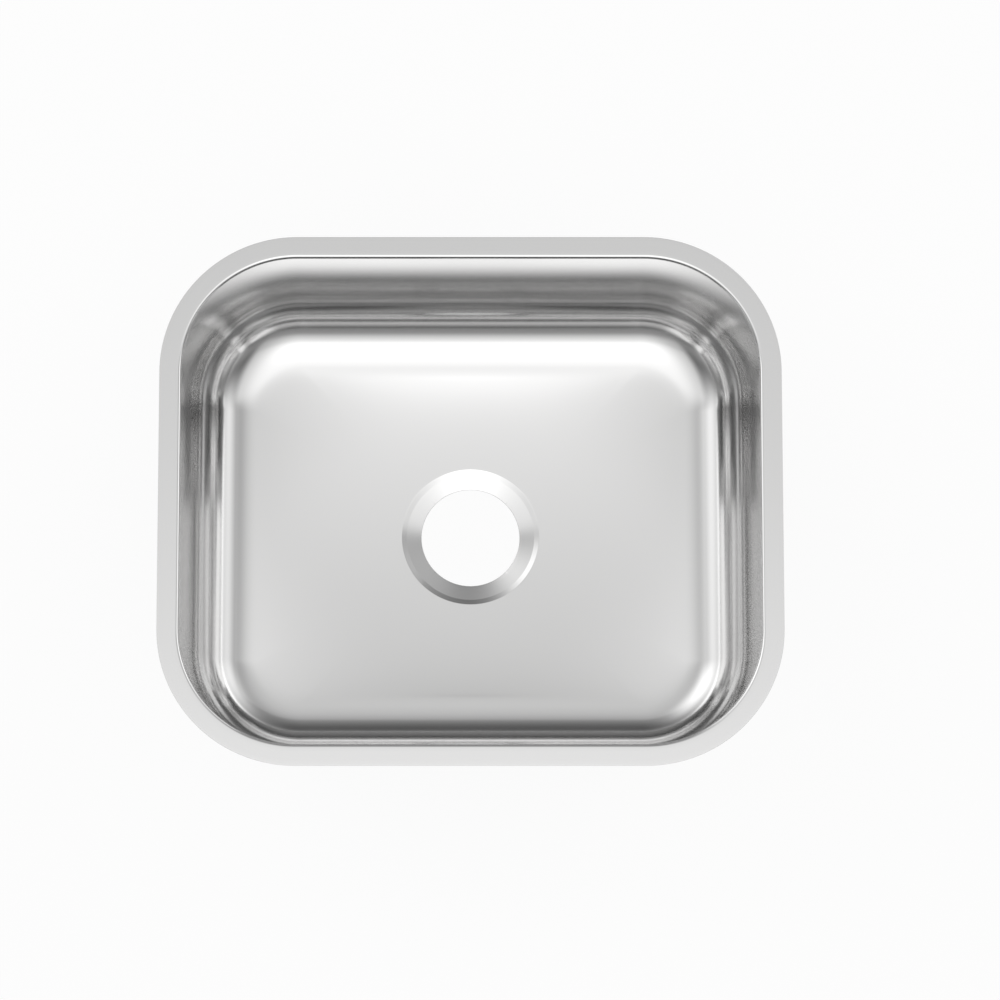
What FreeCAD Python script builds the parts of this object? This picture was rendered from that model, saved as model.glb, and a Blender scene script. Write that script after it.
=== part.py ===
import FreeCAD, Part
import math
import os

from FreeCAD import Vector

# Undermount kitchen sink: one pressed stainless bowl, self-adhesive sound pads on its
# outside, and swing-out fixing clips held under the rim by welded studs and nuts.
# Frame: millimetres, +Z up, +X along the long side, origin under the middle of the base.

# Bowl pressing
BOWL_LENGTH = 400.0         # opening along X, measured between the walls at the rim's top
BOWL_WIDTH = 340.0          # opening along Y
BOWL_DEPTH = 140.0          # rim's top down to the outer edge of the floor
BOWL_CORNER_RADIUS = 80.0   # opening's corners, seen from above
SHEET = 1.0                 # thickness of the steel
RIM_WIDTH = 15.0            # from the opening out to the cut edge of the rim
RIM_BEND_RADIUS = 1.5       # inside of the bend, under the rim
WALL_DRAFT = 3.0            # degrees that the walls lean in from upright
FLOOR_BEND_RADIUS = 45.0    # wall to floor, on the wet side
FLOOR_FALL = 4.0            # drop of the floor from its edge to the drain

# Drain seat, a stepped cone for the flange of a waste
SEAT_RADIUS = 49.0
SEAT_STEP_WIDTH = 3.5
SEAT_STEP_DROP = 1.25
SEAT_CONE_DROP = 3.0
DRAIN_HOLE_RADIUS = 35.0

# Sound pads
WALL_PAD_THICKNESS = 2.0
WALL_PAD_BELOW_RIM = 26.0      # rim's top to the pad's upper edge, measured down the wall
WALL_PAD_ABOVE_BEND = 8.0      # pad's lower edge up from where the floor bend starts
WALL_PAD_FROM_CORNER = 35.0    # pad's end from where the rounded corner starts
WALL_PAD_CORNER_RADIUS = 6.0
BASE_PAD_THICKNESS = 2.5
BASE_PAD_EDGE_MARGIN = 8.0     # pad's edge in from the edge of the floor
BASE_PAD_DRAIN_MARGIN = 8.0    # pad's hole out from the drain seat

# Fixings: M4 studs, swing clips, washers and nuts
STUD_RADIUS = 2.0
STUD_TIP = 1.5                 # stud left past the nut when the nut is backed right off
STUD_CHAMFER = 0.5
STUD_FROM_CORNER = 30.0        # studs of the long sides, from where the corner starts
CLIP_THICKNESS = 1.5
CLIP_EDGE_MARGIN = 0.8         # clip's edges in from the flat of the rim's underside
CLIP_REACH = 36.0              # stud's centre to the outer face of the clip's bent tail
CLIP_TAIL_DROP = 6.0           # height of the bent tail, over the clip's top
CLIP_BEND_RADIUS = 1.0         # inside of the tail's bend
CLIP_HOLE_CLEARANCE = 0.25     # radial, clip's hole round the stud
SLOT_WIDTH = 5.5               # for the screw that goes up into the worktop
SLOT_LENGTH = 15.0             # end to end
SLOT_FROM_TAIL = 6.0           # slot's end to the outer face of the tail
WASHER_RADIUS = 4.5
WASHER_THICKNESS = 0.8
WASHER_CLEARANCE = 0.15        # radial
NUT_FLATS = 7.0
NUT_HEIGHT = 3.2
NUT_CHAMFER_ANGLE = 30.0       # degrees, of the nut's worn-off corners
NUT_RUNNING_CLEARANCE = 0.05   # radial, plain bore round a plain stud
THREAD_PITCH = 0.7
NUT_TURNS = 6.0                # turns from tight to backed off

# Levels, from the base up
base_to_floor_edge = SHEET + SEAT_CONE_DROP + SEAT_STEP_DROP + FLOOR_FALL
rim_z = base_to_floor_edge + BOWL_DEPTH
floor_edge_z = rim_z - BOWL_DEPTH
seat_z = floor_edge_z - FLOOR_FALL
rim_under_z = rim_z - SHEET

# The opening's rounded corners are arcs about these four centres, and the straight
# stretches of the walls run between them.
corner_x = BOWL_LENGTH / 2 - BOWL_CORNER_RADIUS
corner_y = BOWL_WIDTH / 2 - BOWL_CORNER_RADIUS
rim_edge = BOWL_CORNER_RADIUS + RIM_WIDTH

# The wall's section, in (distance out from a corner centre, height).
draft = math.radians(WALL_DRAFT)
bend_outer = RIM_BEND_RADIUS + SHEET
bend_center = (
    BOWL_CORNER_RADIUS + bend_outer * (1 / math.cos(draft) - math.tan(draft)),
    rim_z - bend_outer,
)
floor_bend_z = floor_edge_z + FLOOR_BEND_RADIUS
floor_bend_center = (
    BOWL_CORNER_RADIUS
    - (rim_z - floor_bend_z) * math.tan(draft)
    - FLOOR_BEND_RADIUS / math.cos(draft),
    floor_bend_z,
)
floor_edge = floor_bend_center[0]

# Studs stand in the middle of the flat under the rim.
rim_flat = rim_edge - bend_center[0]
stud_out = rim_edge - rim_flat / 2
clip_width = rim_flat - 2 * CLIP_EDGE_MARGIN
nut_travel = NUT_TURNS * THREAD_PITCH
stud_length = CLIP_THICKNESS + WASHER_THICKNESS + NUT_HEIGHT + nut_travel + STUD_TIP

UP = Vector(0, 0, 1)
FULL_TURN = 360.0
SIDES = {
    "back": Vector(0, 1, 0),
    "front": Vector(0, -1, 0),
    "left": Vector(-1, 0, 0),
    "right": Vector(1, 0, 0),
}


def straight_half(side):
    """Half the straight stretch of a side, between its two corners."""
    return corner_x if side in ("back", "front") else corner_y


def side_center(side):
    """Point on the line through a side's two corner centres, in the middle of the side."""
    return SIDES[side] * (corner_y if side in ("back", "front") else corner_x)


def along(side):
    """Direction along a side, a quarter turn from its outward direction."""
    return UP.cross(SIDES[side])


def on_arc(center, radius, angle):
    """Point of a section's arc; the angle is in radians, from outwards towards up."""
    return center[0] + radius * math.cos(angle), center[1] + radius * math.sin(angle)


def arc_edge(start, middle, end):
    return Part.Arc(start, middle, end).toShape()


def closed_face(edges):
    return Part.Face(Part.Wire(edges))


def polygon_face(points):
    return Part.Face(Part.makePolygon(list(points) + [points[0]]))


def rounded_rectangle(half_x, half_y, radius, z):
    """Face of a rectangle with round corners, about the Z axis."""
    sharp = Part.makePlane(2 * half_x, 2 * half_y, Vector(-half_x, -half_y, z))
    block = sharp.extrude(UP)
    upright = [e for e in block.Edges if abs(e.tangentAt(e.FirstParameter).z) > 0.5]
    rounded = block.makeFillet(radius, upright)
    return next(f for f in rounded.Faces if f.CenterOfMass.z < z + 0.5 and abs(f.normalAt(0, 0).z) > 0.5)


def wall_section():
    """Section of rim, wall and floor bend, one sheet thick, in the XZ plane.

    Starting at the rim's cut edge it follows the wet side down to the edge of the floor
    and comes back along the outside. Both bends keep the sheet's thickness.
    """
    down = -math.pi / 2
    lean_in = math.pi - draft      # from a bend's centre square to the wall, inwards
    lean_out = -draft              # the same line, outwards
    bend_mid = (math.pi / 2 + lean_in) / 2
    floor_mid = (lean_out + down) / 2

    def point(position):
        return Vector(position[0], 0, position[1])

    def line(start, end):
        return Part.LineSegment(point(start), point(end)).toShape()

    def arc(center, radius, first, middle, last):
        return arc_edge(*(point(on_arc(center, radius, a)) for a in (first, middle, last)))

    floor_outer = FLOOR_BEND_RADIUS + SHEET
    edges = [
        line((rim_edge, rim_z), (bend_center[0], rim_z)),
        arc(bend_center, bend_outer, math.pi / 2, bend_mid, lean_in),
        line(
            on_arc(bend_center, bend_outer, lean_in),
            on_arc(floor_bend_center, FLOOR_BEND_RADIUS, lean_out),
        ),
        arc(floor_bend_center, FLOOR_BEND_RADIUS, lean_out, floor_mid, down),
        line((floor_edge, floor_edge_z), (floor_edge, floor_edge_z - SHEET)),
        arc(floor_bend_center, floor_outer, down, floor_mid, lean_out),
        line(
            on_arc(floor_bend_center, floor_outer, lean_out),
            on_arc(bend_center, RIM_BEND_RADIUS, lean_in),
        ),
        arc(bend_center, RIM_BEND_RADIUS, lean_in, bend_mid, math.pi / 2),
        line((bend_center[0], rim_under_z), (rim_edge, rim_under_z)),
        line((rim_edge, rim_under_z), (rim_edge, rim_z)),
    ]
    return closed_face(edges)


def turned(shape, side):
    """Copy of a shape drawn with +X as outwards, turned to face out of a side."""
    copy = shape.copy()
    copy.rotate(Vector(), UP, math.degrees(math.atan2(SIDES[side].y, SIDES[side].x)))
    return copy


def wall_ring():
    """Rim, walls and floor bend: four straight pressings joined by four turned corners."""
    section = wall_section()
    pieces = []
    for side in SIDES:
        half = straight_half(side)
        facing = turned(section, side)
        facing.translate(side_center(side) - along(side) * half)
        pieces.append(facing.extrude(along(side) * 2 * half))
        corner = side_center(side) + along(side) * half
        facing.translate(along(side) * 2 * half)
        pieces.append(facing.revolve(corner, UP, 90))
    return pieces


def floor_faces():
    """Wet face of the floor, from its rounded edge down to the round drain seat.

    Each straight side falls as a flat triangle to one point of the seat. Each corner is
    a ruled patch from the corner's arc to a quarter of the seat, as in sheet-metal work.
    """
    faces = []
    for side in SIDES:
        out, sideways = SIDES[side], along(side)
        half = straight_half(side)
        edge_middle = side_center(side) + out * floor_edge + UP * floor_edge_z
        seat_point = out * SEAT_RADIUS + UP * seat_z
        start, end = edge_middle - sideways * half, edge_middle + sideways * half
        faces.append(polygon_face([start, end, seat_point]))

        diagonal = (out + sideways) * math.sqrt(0.5)
        corner = side_center(side) + sideways * half + UP * floor_edge_z
        corner_arc = arc_edge(end, corner + diagonal * floor_edge, corner + sideways * floor_edge)
        seat_arc = arc_edge(
            seat_point,
            diagonal * SEAT_RADIUS + UP * seat_z,
            sideways * SEAT_RADIUS + UP * seat_z,
        )
        faces.append(Part.makeRuledSurface(corner_arc, seat_arc))
    return faces


def floor_layer(depth, thickness):
    """Solids that follow the floor's slope, from a depth under its wet face downwards."""
    solids = []
    for face in floor_faces():
        face.translate(-UP * depth)
        solids.append(face.extrude(-UP * thickness))
    return solids


def drain_seat():
    """Narrow step and a cone, a little shallower, that lead from the floor to the drain hole."""
    step_radius = SEAT_RADIUS - SEAT_STEP_WIDTH
    step_z = seat_z - SEAT_STEP_DROP
    hole_z = step_z - SEAT_CONE_DROP
    wet = [(SEAT_RADIUS, seat_z), (step_radius, step_z), (DRAIN_HOLE_RADIUS, hole_z)]
    dry = [(r, z - SHEET) for r, z in reversed(wet)]
    section = polygon_face([Vector(r, 0, z) for r, z in wet + dry])
    return section.revolve(Vector(), UP, FULL_TURN)


def bowl():
    """The whole pressing as one solid."""
    ring = wall_ring()
    pressing = ring[0].multiFuse(ring[1:] + floor_layer(0, SHEET) + [drain_seat()])
    return pressing.removeSplitter()


def base_pad():
    """Rubber sheet glued under the floor, with a round hole for the drain."""
    half_x = corner_x + floor_edge - BASE_PAD_EDGE_MARGIN
    half_y = corner_y + floor_edge - BASE_PAD_EDGE_MARGIN
    radius = floor_edge - BASE_PAD_EDGE_MARGIN
    outline = rounded_rectangle(half_x, half_y, radius, 0).extrude(UP * rim_z)
    hole = Part.makeCylinder(SEAT_RADIUS + BASE_PAD_DRAIN_MARGIN, rim_z)
    layer = floor_layer(SHEET, BASE_PAD_THICKNESS)
    sheet = layer[0].multiFuse(layer[1:])
    return sheet.common(outline.cut(hole)).removeSplitter()


def wall_pad(side):
    """Rubber sheet glued to the outside of one wall, leaning with the wall."""
    wall_top = on_arc(bend_center, RIM_BEND_RADIUS, math.pi - draft)
    bend_start = on_arc(floor_bend_center, FLOOR_BEND_RADIUS + SHEET, -draft)
    wall_length = math.hypot(wall_top[0] - bend_start[0], wall_top[1] - bend_start[1])
    top_gap = WALL_PAD_BELOW_RIM - (rim_z - wall_top[1]) / math.cos(draft)
    height = wall_length - top_gap - WALL_PAD_ABOVE_BEND
    half = straight_half(side) - WALL_PAD_FROM_CORNER

    blank = Part.makeBox(WALL_PAD_THICKNESS, 2 * half, height, Vector(0, -half, -height))
    across = [e for e in blank.Edges if abs(e.tangentAt(e.FirstParameter).x) > 0.5]
    pad = blank.makeFillet(WALL_PAD_CORNER_RADIUS, across)
    pad.translate(-UP * top_gap)
    pad.rotate(Vector(), Vector(0, 1, 0), WALL_DRAFT)
    pad.translate(Vector(wall_top[0], 0, wall_top[1]))
    pad = turned(pad, side)
    pad.translate(side_center(side))
    return pad


def fixing_places():
    """Name, side, stud's place and the way the stowed clip points, for each fixing.

    The long sides have a fixing near each corner, pointing to the middle. The short
    sides have one, placed so that its clip lies across the middle.
    """
    places = []
    for side in ("back", "front"):
        for end, sign in (("left", -1), ("right", 1)):
            offset = sign * (corner_x - STUD_FROM_CORNER)
            stud = side_center(side) + SIDES[side] * stud_out + Vector(offset, 0, 0)
            places.append((f"{side}_{end}", side, stud, Vector(-sign, 0, 0)))
    for side in ("left", "right"):
        points = along(side)
        stud = side_center(side) + SIDES[side] * stud_out - points * (CLIP_REACH / 2)
        places.append((side, side, stud, points))
    return places


def placed(shape, stud, points, drop):
    """Shape drawn about the stud's axis with +X as the clip's way, set under the rim."""
    copy = shape.copy()
    copy.rotate(Vector(), UP, math.degrees(math.atan2(points.y, points.x)))
    copy.translate(stud + UP * (rim_under_z - drop))
    return copy


def stud():
    """Threaded weld stud, hanging down from the underside of the rim."""
    shank = Part.makeCylinder(STUD_RADIUS, stud_length, Vector(), -UP)
    tip = [e for e in shank.Edges if e.Closed and e.CenterOfMass.z < -stud_length / 2]
    return shank.makeChamfer(STUD_CHAMFER, tip)


def clip():
    """Strip with a round end on the stud, a screw slot and a tail bent down."""
    half = clip_width / 2
    tail_inner = CLIP_REACH - CLIP_THICKNESS
    bend = (tail_inner - CLIP_BEND_RADIUS, -CLIP_THICKNESS - CLIP_BEND_RADIUS)
    outer = CLIP_BEND_RADIUS + CLIP_THICKNESS

    def point(position):
        return Vector(position[0], -half, position[1])

    def line(start, end):
        return Part.LineSegment(point(start), point(end)).toShape()

    def arc(radius, first, last):
        middle = (first + last) / 2
        return arc_edge(*(point(on_arc(bend, radius, a)) for a in (first, middle, last)))

    quarter = math.pi / 2
    section = closed_face([
        line((0, 0), (bend[0], 0)),
        arc(outer, quarter, 0),
        line((CLIP_REACH, bend[1]), (CLIP_REACH, -CLIP_TAIL_DROP)),
        line((CLIP_REACH, -CLIP_TAIL_DROP), (tail_inner, -CLIP_TAIL_DROP)),
        line((tail_inner, -CLIP_TAIL_DROP), (tail_inner, bend[1])),
        arc(CLIP_BEND_RADIUS, 0, quarter),
        line((bend[0], -CLIP_THICKNESS), (0, -CLIP_THICKNESS)),
        line((0, -CLIP_THICKNESS), (0, 0)),
    ])
    strip = section.extrude(Vector(0, clip_width, 0))
    round_end = Part.makeCylinder(half, CLIP_THICKNESS, Vector(), -UP)
    hole = Part.makeCylinder(STUD_RADIUS + CLIP_HOLE_CLEARANCE, CLIP_THICKNESS, Vector(), -UP)
    return strip.fuse(round_end).removeSplitter().cut(hole).cut(clip_slot())


def clip_slot():
    """Cutter for the clip's screw slot."""
    radius = SLOT_WIDTH / 2
    last = CLIP_REACH - SLOT_FROM_TAIL - radius
    first = last - (SLOT_LENGTH - SLOT_WIDTH)
    ends = [Part.makeCylinder(radius, CLIP_THICKNESS, Vector(x, 0, 0), -UP) for x in (first, last)]
    middle = Part.makeBox(
        last - first, SLOT_WIDTH, CLIP_THICKNESS, Vector(first, -radius, -CLIP_THICKNESS)
    )
    return middle.multiFuse(ends)


def washer():
    disc = Part.makeCylinder(WASHER_RADIUS, WASHER_THICKNESS, Vector(), -UP)
    hole = Part.makeCylinder(STUD_RADIUS + WASHER_CLEARANCE, WASHER_THICKNESS, Vector(), -UP)
    return disc.cut(hole)


def nut():
    """Hexagon nut with chamfered corners and a plain bore."""
    corner = NUT_FLATS / 2 / math.cos(math.radians(30))
    angles = [math.radians(60 * k) for k in range(6)]
    hexagon = polygon_face([Vector(corner * math.cos(a), corner * math.sin(a), 0) for a in angles])
    block = hexagon.extrude(-UP * NUT_HEIGHT)
    slope = math.tan(math.radians(NUT_CHAMFER_ANGLE))
    worn = (corner - NUT_FLATS / 2) * slope
    barrel = polygon_face([
        Vector(0, 0, 0),
        Vector(NUT_FLATS / 2, 0, 0),
        Vector(corner, 0, -worn),
        Vector(corner, 0, worn - NUT_HEIGHT),
        Vector(NUT_FLATS / 2, 0, -NUT_HEIGHT),
        Vector(0, 0, -NUT_HEIGHT),
    ]).revolve(Vector(), UP, FULL_TURN)
    bore = Part.makeCylinder(STUD_RADIUS + NUT_RUNNING_CLEARANCE, NUT_HEIGHT, Vector(), -UP)
    return block.common(barrel).cut(bore)


def build():
    """Every node's name with its solid, or group of solids, in place."""
    nodes = {"bowl": bowl(), "base_sound_pad": base_pad()}
    for side in SIDES:
        nodes[f"wall_sound_pad_{side}"] = wall_pad(side)
    studs = []
    under_clip = CLIP_THICKNESS
    under_washer = under_clip + WASHER_THICKNESS
    for name, _, place, points in fixing_places():
        studs.append(placed(stud(), place, points, 0))
        nodes[f"fixing_clip_{name}"] = placed(clip(), place, points, 0)
        nodes[f"washer_{name}"] = placed(washer(), place, points, under_clip)
        nodes[f"nut_{name}"] = placed(nut(), place, points, under_washer)
    nodes["weld_studs"] = Part.makeCompound(studs)
    return nodes


os.makedirs("parts", exist_ok=True)
for node, shape in build().items():
    shape.exportStep(f"parts/{node}.step")
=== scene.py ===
import math

import bmesh
import bpy
import numpy as np
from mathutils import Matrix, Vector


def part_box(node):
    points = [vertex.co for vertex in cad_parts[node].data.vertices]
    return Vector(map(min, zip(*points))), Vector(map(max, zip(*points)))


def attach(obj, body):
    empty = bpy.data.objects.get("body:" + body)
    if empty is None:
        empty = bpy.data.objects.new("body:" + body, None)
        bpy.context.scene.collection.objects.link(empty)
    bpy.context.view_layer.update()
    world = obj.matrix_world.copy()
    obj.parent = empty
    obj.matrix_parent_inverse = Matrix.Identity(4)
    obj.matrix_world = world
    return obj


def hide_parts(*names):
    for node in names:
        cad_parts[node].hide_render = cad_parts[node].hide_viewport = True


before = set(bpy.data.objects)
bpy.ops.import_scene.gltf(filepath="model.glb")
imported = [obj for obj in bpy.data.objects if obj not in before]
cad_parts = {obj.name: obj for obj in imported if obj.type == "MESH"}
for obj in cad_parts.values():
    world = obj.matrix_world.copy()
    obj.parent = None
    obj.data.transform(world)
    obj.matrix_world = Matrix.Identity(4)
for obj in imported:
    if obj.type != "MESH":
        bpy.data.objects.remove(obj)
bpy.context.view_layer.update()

# Bowl: one pressing of stainless sheet, deep drawn in a die, trimmed round the rim and pierced
# for the drain. The wet side is polished to a soft satin, the outside keeps the die's dull marks.
MM = 0.001
bowl_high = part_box("bowl")[1]
sheet = 1.0 * MM
rim_top = bowl_high.z
rim_width = 15 * MM
corner_radius = 80 * MM
wall_draft = math.radians(3)
rim_bend = 2.5 * MM
floor_bend = 45 * MM
bowl_depth = 140 * MM
floor_fall = 4 * MM
floor_dish = 0.455
dish_arc_share = 0.47
softening_start = 0.03
softening_power = 1.2
narrowest_softening = 1e-6
seat_radius = 49 * MM
step_width = 3.5 * MM
step_drop = 1.25 * MM
cone_drop = 3.0 * MM
hole_radius = 35 * MM
trimmed_edge = 0.25 * MM
pressed_edge = 0.8 * MM
same_point = 0.001 * MM

corner_x = bowl_high.x - rim_width - corner_radius
corner_y = bowl_high.y - rim_width - corner_radius


def rim_walk(side_steps, corner_steps):
    """Walk once round the bowl, anticlockwise from above, along its four sides and corners.

    Each step gives the corner centre that it is measured from and its outward direction. On a
    straight side the centre slides from one corner's to the next and the direction stays. In a
    corner the centre stays and the direction turns a quarter.
    """
    corners = np.array([(1, -1), (1, 1), (-1, 1), (-1, -1)]) * (corner_x, corner_y)
    slide = np.linspace(0, 1, side_steps, endpoint=False)[:, None]
    turn = np.linspace(0, math.pi / 2, corner_steps, endpoint=False)
    centres, angles = [], []
    for side in range(4):
        start, end = corners[side], corners[(side + 1) % 4]
        facing = side * math.pi / 2
        centres += [start + (end - start) * slide, np.repeat(end[None], corner_steps, 0)]
        angles += [np.full(side_steps, facing), facing + turn]
    angles = np.concatenate(angles)
    return np.concatenate(centres), np.stack([np.cos(angles), np.sin(angles)], 1)


def rounded_loop(corners):
    """Closed outline through corner points, each rounded by an arc that touches both its sides.

    A corner is (place, height, radius, steps of its arc, steps of the straight that follows it).
    The arc's ends lie at radius / tan(half the corner's angle) from the corner.
    """
    points = np.array([c[:2] for c in corners], float)
    ahead = np.roll(points, -1, 0) - points
    ahead /= np.linalg.norm(ahead, axis=1)[:, None]
    back = -np.roll(ahead, 1, 0)
    rows = []
    for k, (_, _, radius, arc_steps, _) in enumerate(corners):
        half = math.acos(np.clip(ahead[k] @ back[k], -1, 1)) / 2
        middle = (ahead[k] + back[k]) / np.linalg.norm(ahead[k] + back[k])
        centre = points[k] + middle * radius / math.sin(half)
        first = points[k] + back[k] * radius / math.tan(half) - centre
        last = points[k] + ahead[k] * radius / math.tan(half) - centre
        swing = math.pi - 2 * half
        t = np.linspace(0, 1, arc_steps + 1)[:, None]
        rows.append(centre + (np.sin((1 - t) * swing) * first + np.sin(t * swing) * last) / math.sin(swing))
    outline = []
    for k, corner in enumerate(corners):
        following = rows[(k + 1) % len(rows)][0]
        t = np.linspace(0, 1, corner[4] + 1)[1:-1, None]
        outline += [rows[k], rows[k][-1] + (following - rows[k][-1]) * t]
    return np.concatenate(outline)


def shown(name, points, faces):
    """New object with a smooth mesh of these points and faces, placed by the points alone."""
    mesh = bpy.data.meshes.new(name)
    mesh.from_pydata(points.reshape(-1, 3), [], faces)
    mesh.polygons.foreach_set("use_smooth", np.ones(len(mesh.polygons), bool))
    mesh.update()
    piece = bpy.data.objects.new(name, mesh)
    bpy.context.scene.collection.objects.link(piece)
    return piece


def merged(piece):
    """Join points that coincide, drop the faces that vanish with them and turn all faces outwards."""
    work = bmesh.new()
    work.from_mesh(piece.data)
    bmesh.ops.remove_doubles(work, verts=work.verts, dist=same_point)
    bmesh.ops.dissolve_degenerate(work, edges=work.edges, dist=same_point)
    bmesh.ops.recalc_face_normals(work, faces=work.faces)
    work.to_mesh(piece.data)
    work.free()
    return piece


def even_shading(piece):
    """Let large flat faces set the shading of the narrow rounded edges beside them."""
    piece.modifiers.new("even_shading", "WEIGHTED_NORMAL")
    return piece


def ring_faces(rows, columns):
    """Four-sided faces of a grid that closes on itself both ways."""
    index = np.arange(rows * columns).reshape(rows, columns)
    below, beside = np.roll(index, -1, 0), np.roll(index, -1, 1)
    return np.stack([index, beside, np.roll(below, -1, 1), below], -1).reshape(-1, 4)


def ring_piece(name, points):
    """Piece from a grid of points that closes on itself both ways."""
    return merged(shown(name, points, ring_faces(*points.shape[:2])))


def bowl_section():
    """Closed section of the pressing, as (place, height).

    Place is 0 at the floor's edge, grows outwards to the rim, and falls across the floor's
    width to the drain. The wet side comes first, then the same line one sheet further out. The
    floor is two slopes joined by a very large arc, steeper near the wall by the dish's share of
    the mean slope and gentler by as much near the drain.
    """
    floor_edge = rim_top - bowl_depth
    lean = math.tan(wall_draft)
    wall_shift = sheet / math.cos(wall_draft)
    seat = floor_edge - floor_fall
    step = seat - step_drop
    hole = step - cone_drop
    edge_slope = (1 + floor_dish) * floor_fall / floor_width
    seat_slope = (1 - floor_dish) * floor_fall / floor_width
    opening = corner_radius - floor_reach

    def meet(place, height):
        """Where a leaning wall, given by its place at the rim, meets the sloping floor."""
        drop = (rim_top - height - edge_slope * place) / (1 - edge_slope * lean)
        return place - drop * lean, rim_top - drop

    wet_corner = meet(opening, floor_edge)
    dry_corner = meet(opening + wall_shift, floor_edge - sheet)
    lip = -floor_width
    foot = lip - step_width
    pierced = lip - (seat_radius - hole_radius)
    edge = opening + rim_width
    middle = -floor_width / 2
    middle_height = floor_edge - edge_slope * floor_width / 2
    dish_radius = dish_arc_share * floor_width / math.tan((edge_slope - seat_slope) / 2)
    return rounded_loop([
        (pierced, hole, trimmed_edge, 4, 4),
        (foot, step, pressed_edge, 6, 2),
        (lip, seat, pressed_edge, 6, 2),
        (middle, middle_height, dish_radius, 28, 2),
        (*wet_corner, floor_bend, 48, 8),
        (opening, rim_top, rim_bend, 10, 4),
        (edge, rim_top, trimmed_edge, 4, 1),
        (edge, rim_top - sheet, trimmed_edge, 4, 3),
        (opening + wall_shift - sheet * lean, rim_top - sheet, rim_bend - sheet, 6, 6),
        (*dry_corner, floor_bend + sheet, 28, 2),
        (middle, middle_height - sheet, dish_radius, 10, 2),
        (lip, seat - sheet, pressed_edge, 4, 1),
        (foot, step - sheet, pressed_edge, 4, 3),
        (pierced, hole - sheet, trimmed_edge, 4, 1),
    ])


def floor_edge_reach():
    """How far the floor's edge lies from the corner centres, once the wall has leaned and bent in."""
    height = bowl_depth - floor_bend
    return corner_radius - height * math.tan(wall_draft) - floor_bend / math.cos(wall_draft)


floor_reach = floor_edge_reach()
floor_width = (corner_x + corner_y) / 2 + floor_reach - seat_radius


def softened(radius, angle, inner):
    """Radius of the floor's edge, averaged round the bowl the more the further in it is used.

    The weights are a Poisson kernel, (1 - q^2) / (1 - 2 q cos(gap) + q^2). Its q falls from 1 at
    the edge to 0 at the drain, slowly at first, so that the corners fade away with no crease.
    """
    gap = angle[:, None] - angle
    spacing = (np.roll(angle, -1) - np.roll(angle, 1)) % (2 * math.pi)
    started = np.sqrt(inner ** 2 + softening_start ** 2) - softening_start
    q = np.clip(1 - started ** softening_power, 0, 1 - narrowest_softening)[:, None, None]
    weight = (1 - q ** 2) / (1 - 2 * q * np.cos(gap) + q ** 2) * spacing
    return (weight * radius).sum(-1) / weight.sum(-1)


def bowl_points(section, centres, outward):
    """Carry the section round the bowl.

    Outside the floor's edge a point lies at its distance from a corner centre. Inside the seat
    it lies on a circle about the drain. Across the floor it slides along a ray from the drain,
    between the softened edge and the seat.
    """
    place, height = section.T
    inner = np.clip(-place / floor_width, 0, 1)
    reach = floor_reach + np.maximum(place, 0)
    radius = seat_radius + np.minimum(place + floor_width, 0)
    edge = centres + outward * floor_reach
    edge_radius = np.linalg.norm(edge, axis=1)
    ray = edge / edge_radius[:, None]
    floor_radius = softened(edge_radius, np.arctan2(edge[:, 1], edge[:, 0]), inner)
    along_ray = (1 - inner[:, None]) * floor_radius + (inner * radius)[:, None]
    on_floor = along_ray[..., None] * ray
    past_floor = centres + outward * reach[:, None, None]
    flat = np.where((inner > 0)[:, None, None], on_floor, past_floor)
    return np.dstack([flat, np.broadcast_to(height[:, None], flat.shape[:2])])


section = bowl_section()
bowl = ring_piece("bowl_pressing", bowl_points(section, *rim_walk(side_steps=24, corner_steps=44)))
rows_over_edge = 2


def mark_dry_side(piece, columns):
    """Attribute that is 1 on the outside of the pressing and 0 on its wet side.

    The outside starts a few rows after the first row that reaches the rim's outer edge.
    """
    first_dry = np.argmax(section[:, 0]) + rows_over_edge
    dry = np.repeat((np.arange(len(section)) >= first_dry).astype(float), columns)
    piece.data.attributes.new("dry_side", "FLOAT", "POINT").data.foreach_set("value", dry)


mark_dry_side(bowl, len(bowl.data.vertices) // len(section))
even_shading(bowl)


class Field:
    """A value that varies over a surface. Arithmetic on it adds Math nodes to its material."""

    def __init__(self, material, socket):
        self.material = material
        self.socket = socket

    def _math(self, operation, *values):
        return self.material.node("ShaderNodeMath", {"operation": operation}, dict(enumerate(values)))

    def __add__(self, other):
        return self._math("ADD", self, other)

    def __sub__(self, other):
        return self._math("SUBTRACT", self, other)

    def __rsub__(self, other):
        return self._math("SUBTRACT", other, self)

    def __mul__(self, other):
        return self._math("MULTIPLY", self, other)

    def __pow__(self, other):
        return self._math("POWER", self, other)

    def __rpow__(self, other):
        return self._math("POWER", other, self)

    def __neg__(self):
        return self * -1.0

    __radd__ = __add__
    __rmul__ = __mul__


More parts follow.
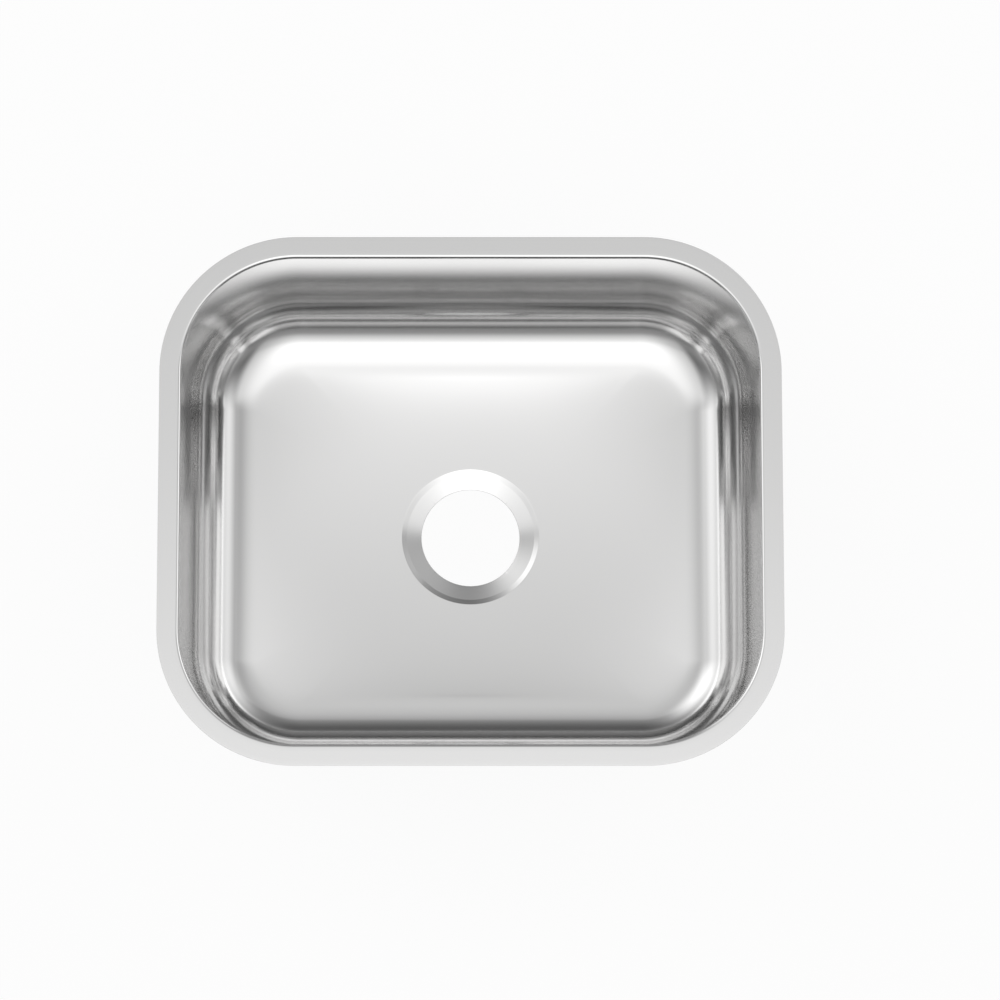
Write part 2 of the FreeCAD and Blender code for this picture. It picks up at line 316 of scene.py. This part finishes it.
class Finish:
    """A procedural material or world under construction: one method adds and links any node."""

    def __init__(self, data, shader="Principled BSDF"):
        data.use_nodes = True
        self.data = data
        self.nodes = data.node_tree.nodes
        self.links = data.node_tree.links
        self.shader = self.nodes[shader]

    def node(self, kind, settings, sockets, output=0):
        """Add a node of this kind, set it up, feed its sockets and return one of its outputs."""
        added = self.nodes.new(kind)
        for name, value in settings.items():
            setattr(added, name, value)
        self.feed(added, sockets)
        return Field(self, added.outputs[output])

    def feed(self, node, sockets):
        """Link each socket to a varying value, or set it to a constant."""
        for name, value in sockets.items():
            if isinstance(value, Field):
                self.links.new(value.socket, node.inputs[name])
            else:
                node.inputs[name].default_value = value

    def surface(self, **sockets):
        """Feed the shader's own sockets, named with _ for a space, and return the material."""
        self.feed(self.shader, {name.replace("_", " "): value for name, value in sockets.items()})
        return self.data

    def noise(self, scale, detail=2.0, stretch=(1, 1, 1)):
        """Soft noise of this many waves a metre, drawn out along any axis with a small stretch."""
        place = self.node("ShaderNodeTexCoord", {}, {}, "Object")
        place = self.node("ShaderNodeMapping", {}, {"Vector": place, "Scale": stretch})
        return self.node("ShaderNodeTexNoise", {}, {"Vector": place, "Scale": scale, "Detail": detail})

    def blend(self, factor, first, second):
        """Colour between two colours."""
        return self.node("ShaderNodeMix", {"data_type": "RGBA"}, {0: factor, 6: first, 7: second}, 2)

    def bump(self, height, strength, distance):
        """Normal that rises and falls with a height, by this distance where the height is 1."""
        return self.node(
            "ShaderNodeBump", {}, {"Height": height, "Strength": strength, "Distance": distance}
        )


wet_steel = (0.70, 0.698, 0.696, 1)
dry_steel = (0.60, 0.597, 0.593, 1)
polish, polish_clouds = 0.11, 0.03
dullness, dull_clouds, dull_streaks = 0.16, 0.14, 0.12
cloud_waves = 14.0
streak_waves = 420.0
drawn_upwards = (1, 1, 0.02)
streak_strength = 0.12
streak_depth = 0.05 * MM


def drawn_steel():
    """Stainless sheet: clear satin where it is polished, dull with upright die marks outside."""
    steel = Finish(bpy.data.materials.new("drawn_stainless"))
    dry = steel.node("ShaderNodeAttribute", {"attribute_name": "dry_side"}, {}, "Fac")
    clouds = steel.noise(cloud_waves, detail=3.0)
    streaks = steel.noise(streak_waves, detail=2.0, stretch=drawn_upwards)
    polished = polish + polish_clouds * clouds
    drawn = dullness + dull_clouds * clouds + dull_streaks * streaks
    return steel.surface(
        Base_Color=steel.blend(dry, wet_steel, dry_steel),
        Metallic=1.0,
        Roughness=polished + dry * drawn,
        Normal=steel.bump(streaks * dry, streak_strength, streak_depth),
    )


bowl.data.materials.append(drawn_steel())
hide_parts("bowl")
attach(bowl, "bowl")

# Base pad: a die-cut sheet of black butyl rubber, peeled off its backing and pressed up under
# the floor by hand, with a round hole that clears the drain seat. It deadens falling water.
base_pad_thickness = 2.5 * MM
base_pad_margin = 8 * MM
pad_edge = 0.7 * MM
glued_edge = 0.1 * MM


def pad_section(first, last, thickness):
    """Closed outline of a sheet seen end on, as (share of its width, depth below its glued face)."""
    return rounded_loop([
        (first, 0, glued_edge, 1, 26),
        (last, 0, glued_edge, 1, 1),
        (last, -thickness, pad_edge, 5, 26),
        (first, -thickness, pad_edge, 5, 1),
    ])


def base_pad_points(centres, outward):
    """Carry the sheet's section round the drain, under the floor's dry side.

    It runs along rays from the drain, from its hole to a line one margin inside the floor's edge,
    and takes its height from the floor above it.
    """
    edge = centres + outward * (floor_reach - base_pad_margin)
    edge_radius = np.linalg.norm(edge, axis=1)
    ray = edge / edge_radius[:, None]
    hole = seat_radius + base_pad_margin
    width = edge_radius.mean() - hole
    across, depth = pad_section(0, width, base_pad_thickness).T
    radius = hole + (edge_radius - hole) * (across / width)[:, None]
    floor_edge = np.linalg.norm(centres + outward * floor_reach, axis=1)
    inner = np.clip((floor_edge - radius) / (floor_edge - seat_radius), 0, 1)
    fall = floor_fall * (inner + floor_dish * inner * (1 - inner))
    height = rim_top - bowl_depth - sheet - fall + depth[:, None]
    return np.dstack([radius[..., None] * ray, height])


base_pad = ring_piece("butyl_base_pad", base_pad_points(*rim_walk(side_steps=16, corner_steps=20)))
rubber_black = (0.026, 0.027, 0.029, 1)
rubber_dust = (0.085, 0.085, 0.083, 1)
dust_amount, dust_patchiness = 1.6, 3.0
unrubbed, rubbed_gloss = 0.86, 0.36
rubbed_waves = 45.0
pebble_waves = 900.0
pebble_strength = 0.45
pebble_depth = 0.25 * MM


def butyl_rubber():
    """Calendered rubber: nearly black, finely pebbled, with pale dust and rubbed patches."""
    rubber = Finish(bpy.data.materials.new("butyl_rubber"))
    pebbles = rubber.noise(pebble_waves, detail=2.0)
    rubbed = rubber.noise(rubbed_waves, detail=4.0)
    dust = rubbed ** dust_patchiness
    return rubber.surface(
        Base_Color=rubber.blend(dust * dust_amount, rubber_black, rubber_dust),
        Roughness=unrubbed - rubbed_gloss * rubbed,
        Normal=rubber.bump(pebbles, pebble_strength, pebble_depth),
    )


pad_rubber = butyl_rubber()
base_pad.data.materials.append(pad_rubber)
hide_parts("base_sound_pad")
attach(base_pad, "bowl")

# Wall pads: four more sheets of the same rubber, one pressed on the outside of each wall. Hand
# pressing leaves them a little uneven, and the cutting rule rounds their outer edges.
wall_pad_thickness = 2.0 * MM
wall_pad_corner = 6 * MM
hand_unevenness = 0.06 * MM
ripple_length, ripple_rise, ripple_sway = 17 * MM, 11 * MM, 1.3
wall_pad_lines = 45


def sheet_faces(rows, columns):
    """Faces of a front and a back grid, joined by a strip round their shared border."""
    front = np.arange(rows * columns).reshape(rows, columns)
    back = front + rows * columns

    def quads(grid):
        return np.stack([grid[:-1, :-1], grid[:-1, 1:], grid[1:, 1:], grid[1:, :-1]], -1).reshape(-1, 4)

    border = np.concatenate([front[0, :-1], front[:-1, -1], front[-1, :0:-1], front[:0:-1, 0]])
    ahead = np.roll(border, -1)
    behind = back.ravel()
    strip = np.stack([border, behind[border], behind[ahead], ahead], -1)
    return np.concatenate([quads(front), quads(back)[:, ::-1], strip])


def wall_pad_grid(half_length, half_height):
    """Front and back of a pad lying flat, as (along, up, out from the wall).

    Rows and columns crowd towards the edges as a sine does. Each row is as wide as the rounded
    outline there. The front follows a quarter circle down to the outline, and ripples slightly.
    """
    crowded = np.sin(np.linspace(-math.pi / 2, math.pi / 2, wall_pad_lines))
    up = half_height * crowded
    into_corner = np.maximum(np.abs(up) - (half_height - wall_pad_corner), 0)
    half_width = half_length - wall_pad_corner + np.sqrt(wall_pad_corner ** 2 - into_corner ** 2)
    along = half_width[:, None] * crowded
    up = np.broadcast_to(up[:, None], along.shape)
    past = np.stack([np.abs(along) - half_length, np.abs(up) - half_height]) + wall_pad_corner
    outside = np.hypot(*np.maximum(past, 0)) + np.minimum(past.max(0), 0) - wall_pad_corner
    depth = np.clip(-outside, 0, pad_edge)
    ripple = np.sin(along / ripple_length + ripple_sway * np.sin(up / ripple_rise)) * depth / pad_edge
    swell = np.sqrt(pad_edge ** 2 - (pad_edge - depth) ** 2)
    out = wall_pad_thickness - pad_edge + swell + hand_unevenness * (ripple - 1)
    return np.stack([np.dstack([along, up, out]), np.dstack([along, up, np.zeros_like(out)])])


def on_wall(flat, side_centre, outward):
    """Lay flat points on the outside of a wall: along it, up its slope and out square to it."""
    along, up, out = np.moveaxis(flat, -1, 0)
    lean = math.tan(wall_draft)
    height = pad_middle + up * math.cos(wall_draft) - out * math.sin(wall_draft)
    wall = corner_radius + sheet / math.cos(wall_draft) - (rim_top - height) * lean
    distance = wall + out / math.cos(wall_draft)
    sideways = np.array([-outward[1], outward[0]])
    level = side_centre + distance[..., None] * outward + along[..., None] * sideways
    return np.dstack([level.reshape(-1, 2)[None], height.reshape(-1)[None]])[0]


for side, outward in {"back": (0, 1), "front": (0, -1), "left": (-1, 0), "right": (1, 0)}.items():
    pad_low, pad_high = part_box(f"wall_sound_pad_{side}")
    pad_middle = (pad_low.z + pad_high.z) / 2
    pad_length = max(pad_high.x - pad_low.x, pad_high.y - pad_low.y)
    pad_rise = pad_high.z - pad_low.z - wall_pad_thickness * math.sin(wall_draft)
    flat = wall_pad_grid(pad_length / 2, pad_rise / 2 / math.cos(wall_draft))
    outward = np.array(outward, float)
    points = on_wall(flat, outward * (corner_x, corner_y), outward)
    wall_pad = merged(shown(f"butyl_wall_pad_{side}", points, sheet_faces(*flat.shape[1:3])))
    wall_pad.data.materials.append(pad_rubber)
    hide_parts(f"wall_sound_pad_{side}")
    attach(wall_pad, "bowl")

# Weld studs: six short M4 studs of stainless steel, resistance welded to the underside of the
# rim, with a rolled thread that runs up to the weld and a chamfered tip.
fixings = ["back_left", "back_right", "front_left", "front_right", "left", "right"]
stud_radius = 2.0 * MM
thread_pitch = 0.7 * MM
thread_depth = 0.38 * MM
stud_chamfer = 0.5 * MM
groove_steepness, crest_share = 1.25, 0.1
rows_per_pitch = 10
stud_columns = 40
stud_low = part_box("weld_studs")[0]
rim_under = rim_top - sheet


def stud_places():
    """Axis of each fixing, taken from its washer."""
    boxes = [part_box(f"washer_{name}") for name in fixings]
    return np.array([((low + high) / 2).xy for low, high in boxes])


def threaded_stud():
    """Stud about the Z axis as a grid of heights and angles, closed by a point at each end.

    The radius falls from the crest by the thread's depth times a rounded V of the phase, which
    is the height in pitches plus the angle in turns. The tip's cone cuts the thread away.
    """
    length = rim_under - stud_low.z
    steps = round(length / thread_pitch) * rows_per_pitch
    height = stud_low.z + length * np.linspace(0, 1, steps + 1)[:, None]
    angle = np.linspace(0, 2 * math.pi, stud_columns, endpoint=False)
    phase = (height / thread_pitch + angle / (2 * math.pi)) % 1
    groove = np.clip(np.abs(2 * phase - 1) * groove_steepness - crest_share, 0, 1)
    crest = np.minimum(stud_radius, stud_radius - stud_chamfer + height - stud_low.z)
    radius = np.minimum(stud_radius - thread_depth * groove, crest)
    ends = np.zeros((1, len(angle)))
    radius = np.concatenate([ends, radius, ends])
    height = np.concatenate([height[:1], height, height[-1:]])
    return np.dstack([radius * np.cos(angle), radius * np.sin(angle), height + 0 * angle])


def tube_faces(rows, columns):
    """Faces of a grid that closes round its columns and is open at its first and last rows."""
    return ring_faces(rows, columns)[: (rows - 1) * columns]


def repeated_at(places, grid, faces):
    """Points and faces of a grid copied to several places on the plan."""
    shift = np.pad(places, ((0, 0), (0, 1)))[:, None]
    points = grid.reshape(1, -1, 3) + shift
    step = points.shape[1] * np.arange(len(places))[:, None, None]
    return points, (faces + step).reshape(-1, 4)


places = stud_places()
stud_grid = threaded_stud()
studs = shown("threaded_studs", *repeated_at(places, stud_grid, tube_faces(*stud_grid.shape[:2])))
merged(studs)
bright_metal = (0.66, 0.655, 0.645, 1)
stained_metal = (0.56, 0.555, 0.55, 1)
stain_waves = 260.0
grain_waves = 4000.0
tumbled, stain_dullness, grain_dullness = 0.20, 0.14, 0.06


def bright_steel():
    """Rolled and tumbled fastener steel: bright, with faint stains and a fine grain."""
    steel = Finish(bpy.data.materials.new("bright_fastener_steel"))
    stains = steel.noise(stain_waves, detail=3.0)
    grain = steel.noise(grain_waves, detail=1.0)
    return steel.surface(
        Base_Color=steel.blend(stains, bright_metal, stained_metal),
        Metallic=1.0,
        Roughness=tumbled + stain_dullness * stains + grain_dullness * grain,
    )


fastener_steel = bright_steel()
studs.data.materials.append(fastener_steel)
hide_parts("weld_studs")
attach(studs, "bowl")

# Swing clips: strips of zinc-plated steel with a hole for the stud, a slot for the screw that
# goes up into the worktop, and a tail bent down as a finger grip. The edges are tumbled round.
clip_thickness = 1.5 * MM
clip_edge = 0.3 * MM
clip_reach = 36 * MM
clip_tail = 6 * MM
clip_bend = 1.0 * MM
clip_hole = stud_radius + 0.25 * MM
tail_corner = 2.0 * MM
slot_half = 2.75 * MM
slot_first = 17.75 * MM
slot_last = 27.25 * MM
arc_rows, bend_rows, corner_rows, edge_rows = 25, 24, 9, 4
row_decimals = 7


def clip_half_width():
    """Half the strip's width, from a clip that lies along the back."""
    low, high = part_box("fixing_clip_back_left")
    return (high.y - low.y) / 2


def clip_path(distance):
    """Where the strip's middle layer runs, as (along, down), and which way its top faces.

    It runs straight to the bend, turns a quarter on an arc and goes straight down.
    """
    radius = clip_bend + clip_thickness / 2
    bend_start = clip_reach - clip_thickness - clip_bend
    turn = np.clip((distance - bend_start) / radius, 0, math.pi / 2)
    past = np.maximum(distance - bend_start - radius * math.pi / 2, 0)
    along = np.minimum(distance, bend_start) + radius * np.sin(turn)
    down = clip_thickness / 2 + radius * (1 - np.cos(turn)) + past
    return along, down, np.sin(turn), np.cos(turn)


def chord(distance, middle, radius):
    """Half the width of a round hole or end at a distance along the strip."""
    return np.sqrt(np.maximum(radius ** 2 - (distance - middle) ** 2, 0))


def clip_rows(half):
    """Distances along the strip that its grid needs: crowded round the arcs, sparse between."""
    arc = -np.cos(np.linspace(0, math.pi, arc_rows))
    end = clip_reach - clip_thickness - clip_bend + (clip_bend + clip_thickness / 2) * math.pi / 2
    end += clip_tail - clip_thickness - clip_bend
    bend = np.linspace(clip_reach - clip_thickness - clip_bend, end, bend_rows)
    rounded = end - tail_corner * (1 - np.sin(np.linspace(0, math.pi / 2, corner_rows)))
    slot = [slot_first + slot_half * arc[arc <= 0], slot_last + slot_half * arc[arc >= 0]]
    rows = [half * arc[arc <= 0], clip_hole * arc, *slot, bend, rounded]
    return np.unique(np.round(np.concatenate(rows), row_decimals))


def clip_points():
    """One half of the strip, as loops of its section at each distance, about the stud's axis.

    A loop runs from the hole, the slot or the middle line out over the top to the edge and back
    underneath, with quarter-round edges. Its inner side is the chord of the hole or slot there.
    """
    half = clip_half_width()
    distance = clip_rows(half)
    outer = np.where(distance < 0, chord(distance, 0, half), half)
    corner_start = distance[-1] - tail_corner
    tail = half - tail_corner + chord(np.maximum(distance, corner_start), corner_start, tail_corner)
    outer = np.minimum(outer, tail)
    in_slot = np.clip(distance, slot_first, slot_last)
    inner = np.maximum(chord(distance, 0, clip_hole), chord(distance, in_slot, slot_half))
    turn = np.linspace(0, math.pi / 2, edge_rows)
    outer_edge = np.minimum(clip_edge, outer - inner)[:, None]
    inner_edge = np.minimum(clip_edge, inner)[:, None]
    top = clip_thickness / 2
    across = np.hstack([
        inner[:, None] + inner_edge * (1 - np.cos(turn)),
        outer[:, None] - outer_edge * (1 - np.sin(turn)),
    ])
    rise = np.hstack([top - inner_edge * (1 - np.sin(turn)), top - outer_edge * (1 - np.cos(turn))])
    across = np.hstack([across, across[:, ::-1]])
    rise = np.hstack([rise, -rise[:, ::-1]])
    along, down, face_along, face_up = (value[:, None] for value in clip_path(distance))
    return np.dstack([along + rise * face_along, across, rim_under - down + rise * face_up])


def clip_mesh():
    """Points and faces of the whole clip: a half and its mirror image, with the tail's end closed.

    Faces that lie in the middle line, where the halves meet, are left out.
    """
    half = clip_points()
    rows, columns = half.shape[:2]
    faces = tube_faces(rows, columns)
    last = (rows - 1) * columns + np.arange(columns)
    upper, lower = last[: columns // 2], last[: columns // 2 - 1 : -1]
    end = np.stack([upper[:-1], upper[1:], lower[1:], lower[:-1]], -1)
    faces = np.concatenate([faces, end])
    on_middle = (np.abs(half[..., 1].ravel()[faces]) < same_point).all(1)
    faces = faces[~on_middle]
    points = np.concatenate([half.reshape(-1, 3), half.reshape(-1, 3) * (1, -1, 1)])
    return points, np.concatenate([faces, faces[:, ::-1] + rows * columns])


def set_at(points, place, turn):
    """Points about the Z axis, turned by an angle and carried to a fixing's place on the plan."""
    cosine, sine = math.cos(turn), math.sin(turn)
    spin = np.array([(cosine, sine, 0), (-sine, cosine, 0), (0, 0, 1)])
    return points.reshape(-1, 3) @ spin + np.append(place, 0)


def stowed_turn(name, place):
    """Way that a stowed clip points: from its stud to the middle of the clip."""
    low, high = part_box(f"fixing_clip_{name}")
    along_x, along_y = np.array(((low + high) / 2).xy) - place
    return math.atan2(along_y, along_x)


fresh_zinc = (0.66, 0.665, 0.67, 1)
dull_zinc = (0.50, 0.50, 0.49, 1)
crystal_waves = 900.0
patch_waves = 120.0
plated, crystal_dullness, patch_dullness = 0.24, 0.16, 0.12
crystal_strength = 0.10
crystal_depth = 0.05 * MM


def zinc_plate():
    """Zinc plating: pale and slightly blue, with a soft crystalline cloud and duller patches."""
    zinc = Finish(bpy.data.materials.new("zinc_plate"))
    crystals = zinc.noise(crystal_waves, detail=3.0)
    patches = zinc.noise(patch_waves, detail=3.0)
    return zinc.surface(
        Base_Color=zinc.blend(patches, fresh_zinc, dull_zinc),
        Metallic=1.0,
        Roughness=plated + crystal_dullness * crystals + patch_dullness * patches,
        Normal=zinc.bump(crystals, crystal_strength, crystal_depth),
    )


clip_zinc = zinc_plate()
clip_form = clip_mesh()
turns = [stowed_turn(name, place) for name, place in zip(fixings, places)]
for name, place, turn in zip(fixings, places, turns):
    clip = shown(f"swing_clip_{name}", set_at(clip_form[0], place, turn), clip_form[1])
    even_shading(merged(clip)).data.materials.append(clip_zinc)
    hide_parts(f"fixing_clip_{name}")
    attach(clip, f"clip_{name}")

# Washers: flat stamped rings of the same bright steel as the studs, tumbled until all their edges
# are slightly round. Each washer spreads its nut's pressure over the clip.
washer_edge = 0.2 * MM
washer_gap = 0.15 * MM


def turned_ring(section, columns):
    """Ring about the Z axis: a closed section of (radius, height) carried round a circle."""
    angle = np.linspace(0, 2 * math.pi, columns, endpoint=False)
    radius, height = section.T[:, :, None]
    return np.dstack([radius * np.cos(angle), radius * np.sin(angle), height + 0 * angle])


def washer_section(low, high):
    """Rectangle from the hole to the rim, with its four edges rounded."""
    inner, outer = stud_radius + washer_gap, (high.x - low.x) / 2
    corners = [(inner, low.z), (outer, low.z), (outer, high.z), (inner, high.z)]
    return rounded_loop([(*corner, washer_edge, 3, 2) for corner in corners])


for name, place in zip(fixings, places):
    ring = turned_ring(washer_section(*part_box(f"washer_{name}")), columns=64)
    washer = shown(f"flat_washer_{name}", set_at(ring, place, 0), ring_faces(*ring.shape[:2]))
    even_shading(merged(washer)).data.materials.append(fastener_steel)
    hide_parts(f"washer_{name}")
    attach(washer, f"washer_{name}")

# Nuts: cold-formed hexagons of bright steel, chamfered on both faces and countersunk into the
# thread. Backing one off by six turns frees its clip to swing.
nut_flats = 7.0 * MM
nut_bore = stud_radius + 0.05 * MM
nut_countersink = 0.35 * MM
nut_face_share = 0.96
nut_face = nut_face_share * nut_flats / 2
nut_edge = 0.12 * MM
nut_columns = 72
chamfer_slope = math.tan(math.radians(30))
sharp_edge = math.radians(25)


def nut_grid(low, high):
    """Hexagon nut as rows of a section that changes with the angle, closed through its bore.

    The side's radius is half the flats over the cosine of the angle from the flat's middle. Each
    face is a disc, and a cone from the disc's edge cuts the corners down.
    """
    angle = np.linspace(0, 2 * math.pi, nut_columns, endpoint=False)
    side = nut_flats / 2 / np.cos(angle % (math.pi / 3) - math.pi / 6)
    worn = (side - nut_face) * chamfer_slope
    level = np.ones_like(angle)
    rows = [
        (nut_bore * level, low + nut_countersink * level),
        ((nut_bore + nut_countersink) * level, low * level),
        (nut_face * level, low * level),
        (side, low + worn),
        (side, high - worn),
        (nut_face * level, high * level),
        ((nut_bore + nut_countersink) * level, high * level),
        (nut_bore * level, high - nut_countersink * level),
    ]
    radius, height = np.array(rows).transpose(1, 0, 2)
    return np.dstack([radius * np.cos(angle), radius * np.sin(angle), height])


def round_edges(piece, width):
    """Bevel the sharp edges by a small width."""
    bevel = piece.modifiers.new("round_edges", "BEVEL")
    bevel.width = width
    bevel.segments = 2
    bevel.angle_limit = sharp_edge
    return piece


for name, place, turn in zip(fixings, places, turns):
    nut_low, nut_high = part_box(f"nut_{name}")
    hexagon = nut_grid(nut_low.z, nut_high.z)
    nut = shown(f"hexagon_nut_{name}", set_at(hexagon, place, turn), ring_faces(*hexagon.shape[:2]))
    even_shading(round_edges(merged(nut), nut_edge)).data.materials.append(fastener_steel)
    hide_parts(f"nut_{name}")
    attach(nut, f"nut_{name}")

# Paper floor: a wide round sheet of white paper that the sink stands on. It lies flat and carries the
# sink's soft shadow, and in what the steel mirrors it has a painted shadow under the drain hole.
paper_radius = 4.5
paper_rings = 10
# Painted shadow: inside this radius from the middle, the glow that glossy rays see is cut to this share. It
# stands in for the bowl's shadow under the drain hole.
painted_shadow_radius = 0.06
painted_shadow_share = 0.4
glow_share = 0.92
pale_fibres = (0.86, 0.86, 0.86, 1)
dark_fibres = (0.84, 0.84, 0.84, 1)
fibre_waves = 220.0
paper_roughness = 0.9
white = (1, 1, 1, 1)


def paper_points(columns):
    """Flat disc in the plane of the floor, as rings about its middle."""
    radius = paper_radius * np.linspace(0, 1, paper_rings)
    return turned_ring(np.stack([radius, np.zeros_like(radius)], 1), columns)


paper_grid = paper_points(columns=96)
paper_floor = merged(shown("paper_floor", paper_grid, tube_faces(*paper_grid.shape[:2])))
if paper_floor.data.polygons[0].normal.z < 0:
    paper_floor.data.flip_normals()


def seen_by(finish, *rays):
    """1 for the kinds of ray that are named and 0 for all others."""
    path = finish.nodes.new("ShaderNodeLightPath")
    first, *rest = [Field(finish, path.outputs[f"Is {ray} Ray"]) for ray in rays]
    return sum(rest, first)


def white_paper():
    """White paper that a camera or a mirror sees as nearly pure white, with soft shadows left in.

    Under the drain hole the glow that the steel mirrors is cut to a share, a painted shadow of the bowl on
    the paper.
    From underneath the paper is clear, so that the sink can be looked at from below.
    """
    paper = Finish(bpy.data.materials.new("white_paper"))
    spot = paper.node("ShaderNodeTexCoord", {}, {}, "Object")
    from_middle = paper.node("ShaderNodeVectorMath", {"operation": "LENGTH"}, {0: spot}, "Value")
    # Painted shadow: the mirrored glow is dimmed inside a disc under the drain hole.
    outside_painted_shadow = paper.node(
        "ShaderNodeMath", {"operation": "GREATER_THAN"}, {0: from_middle, 1: painted_shadow_radius}
    )
    mirrored_with_painted_shadow = painted_shadow_share + (1 - painted_shadow_share) * outside_painted_shadow
    seen = seen_by(paper, "Camera", "Transmission") + mirrored_with_painted_shadow * seen_by(paper, "Glossy")
    underneath = paper.node("ShaderNodeNewGeometry", {}, {}, "Backfacing")
    glow = paper.node("ShaderNodeEmission", {}, {"Color": white, "Strength": 1.0})
    clear = paper.node("ShaderNodeBsdfTransparent", {}, {})
    fibres = paper.noise(fibre_waves, detail=3.0)
    lit = Field(paper, paper.shader.outputs[0])
    paper.surface(Base_Color=paper.blend(fibres, dark_fibres, pale_fibres), Roughness=paper_roughness)
    top = paper.node("ShaderNodeMixShader", {}, {0: glow_share * seen, 1: lit, 2: glow})
    both = paper.node("ShaderNodeMixShader", {}, {0: underneath, 1: top, 2: clear})
    paper.links.new(both.socket, paper.nodes["Material Output"].inputs["Surface"])
    return paper.data


paper_floor.data.materials.append(white_paper())

# Studio light: a white ceiling over the sink with a large softbox in it, soft panels round the sides
# and the back, a smaller one high up at the back left, and only a dim one low in front.
room = Finish(bpy.data.worlds.new("studio_room"), "Background")
bpy.context.scene.world = room.data
room_grey = 0.02
# Overhead panels: lean to the back from and to, lean to either side, softness, brightness.
# Angles are in degrees here and below.
overhead_panels = {
    "softbox": (-57, 8.2, 47, 2.2, 0.57),
    "ceiling": (-40, 42, 31, 7.2, 0.66),
}
# Wall panels, alike on both sides: angle from straight up from and to, bearing from and to, softness,
# brightness. A bearing is 0 at the front and 180 at the back. Upright edges are twice as soft.
wall_panels = {
    "sides": (69, 180, 93, 157, 1.0, 1.40),
    "upper_sides": (50, 69, 89, 138, 5.4, 2.0),
    "back": (69, 79, 157, 200, 2.0, 1.11),
    "front_corners": (72, 180, 52, 78, 2.0, 1.1),
    "front": (60, 71, -62, 62, 2.0, 0.28),
}
back_left_panel = (38, 57, 109, 154, 3.0, 1.04)
lamp_lean = 31
lamp_width = 12.9
lamp_brightness = 0.58
middle_softness = 0.02


def room_axes():
    """The ray's share to the right, to the back and upwards."""
    ray = room.node("ShaderNodeTexCoord", {}, {}, "Generated")
    return [room.node("ShaderNodeSeparateXYZ", {}, {0: ray}, axis) for axis in "XYZ"]


def angle_between(opposite, adjacent):
    """Angle in degrees whose tangent is opposite over adjacent."""
    radians = room.node("ShaderNodeMath", {"operation": "ARCTAN2"}, {0: opposite, 1: adjacent})
    return radians * math.degrees(1)


def soft_step(value, start, softness):
    """Rises from 0 to 1 where the value passes its start, as 1 / (1 + e^((start - value) / softness))."""
    return (1 + math.e ** ((start - value) * (1 / softness))) ** -1.0


def between(value, first, last, softness):
    """1 from the first angle to the last, with soft ends."""
    return soft_step(value, first, softness) * soft_step(-value, -last, softness)


def room_light():
    """Brightness of the room in each direction: the sum of all its panels and of one round lamp.

    The lamp leans to the front and fades as e^((cosine of the angle from its middle - 1) / width^2).
    """
    rightwards, backwards, upwards = room_axes()
    sideways = room.node("ShaderNodeMath", {"operation": "ABSOLUTE"}, {0: rightwards})
    level = (rightwards * rightwards + backwards * backwards) ** 0.5
    to_back, to_side = angle_between(backwards, upwards), angle_between(sideways, upwards)
    zenith, bearing = angle_between(level, upwards), angle_between(sideways, -backwards)

    def overhead(first, last, reach, softness, brightness):
        return brightness * between(to_back, first, last, softness) * soft_step(-to_side, -reach, softness)

    def upright(low, high, first, last, softness, brightness):
        across = between(bearing, first, last, 2 * softness)
        return brightness * between(zenith, low, high, softness) * across

    lean = math.radians(lamp_lean)
    off_middle = upwards * math.cos(lean) - backwards * math.sin(lean) - 1
    lamp = lamp_brightness * math.e ** (off_middle * (1 / math.radians(lamp_width) ** 2))
    light = room_grey + lamp
    light = sum((overhead(*panel) for panel in overhead_panels.values()), light)
    light = sum((upright(*panel) for panel in wall_panels.values()), light)
    return light + upright(*back_left_panel) * soft_step(-rightwards, 0, middle_softness)


backdrop = seen_by(room, "Camera")
room.surface(Color=white, Strength=backdrop + (1 - backdrop) * room_light())


def softbox(name, height, width, length, radiance):
    """Rectangular light that hangs over the sink and faces down.

    Its power is radiance times pi times its area, so radiance is what a mirror would show.
    """
    lamp = bpy.data.lights.new(name, "AREA")
    lamp.shape = "RECTANGLE"
    lamp.size = width
    lamp.size_y = length
    lamp.energy = radiance * math.pi * width * length
    box = bpy.data.objects.new(name, lamp)
    box.location = (0, 0, rim_top + height)
    box.visible_camera = False
    bpy.context.scene.collection.objects.link(box)
    return box


softbox("ceiling_softbox", height=2.0, width=3.6, length=3.6, radiance=0.12)

# Camera: a long lens that looks steeply down from the front, at the middle of the rim. The sink
# stands a little left of the picture's middle.
sensor_width = 36.0
focal_length = 189.7
sideways_shift = 0.0295
elevation = math.radians(79.14)
distance = 3.622
aim_y = -0.85 * MM
camera_data = bpy.data.cameras.new("camera")
camera_data.sensor_width = sensor_width
camera_data.lens = focal_length
camera_data.shift_x = sideways_shift
camera = bpy.data.objects.new("camera", camera_data)
camera_y = aim_y - distance * math.cos(elevation)
camera.location = (0, camera_y, rim_top + distance * math.sin(elevation))
camera.rotation_euler = (math.pi / 2 - elevation, 0, 0)
bpy.context.scene.collection.objects.link(camera)
bpy.context.scene.camera = camera
bpy.context.scene.view_settings.view_transform = "Standard"
# The polished bowl mirrors itself many times over, so light is followed through that many reflections.
mirror_bounces = 12
bpy.context.scene.cycles.glossy_bounces = mirror_bounces
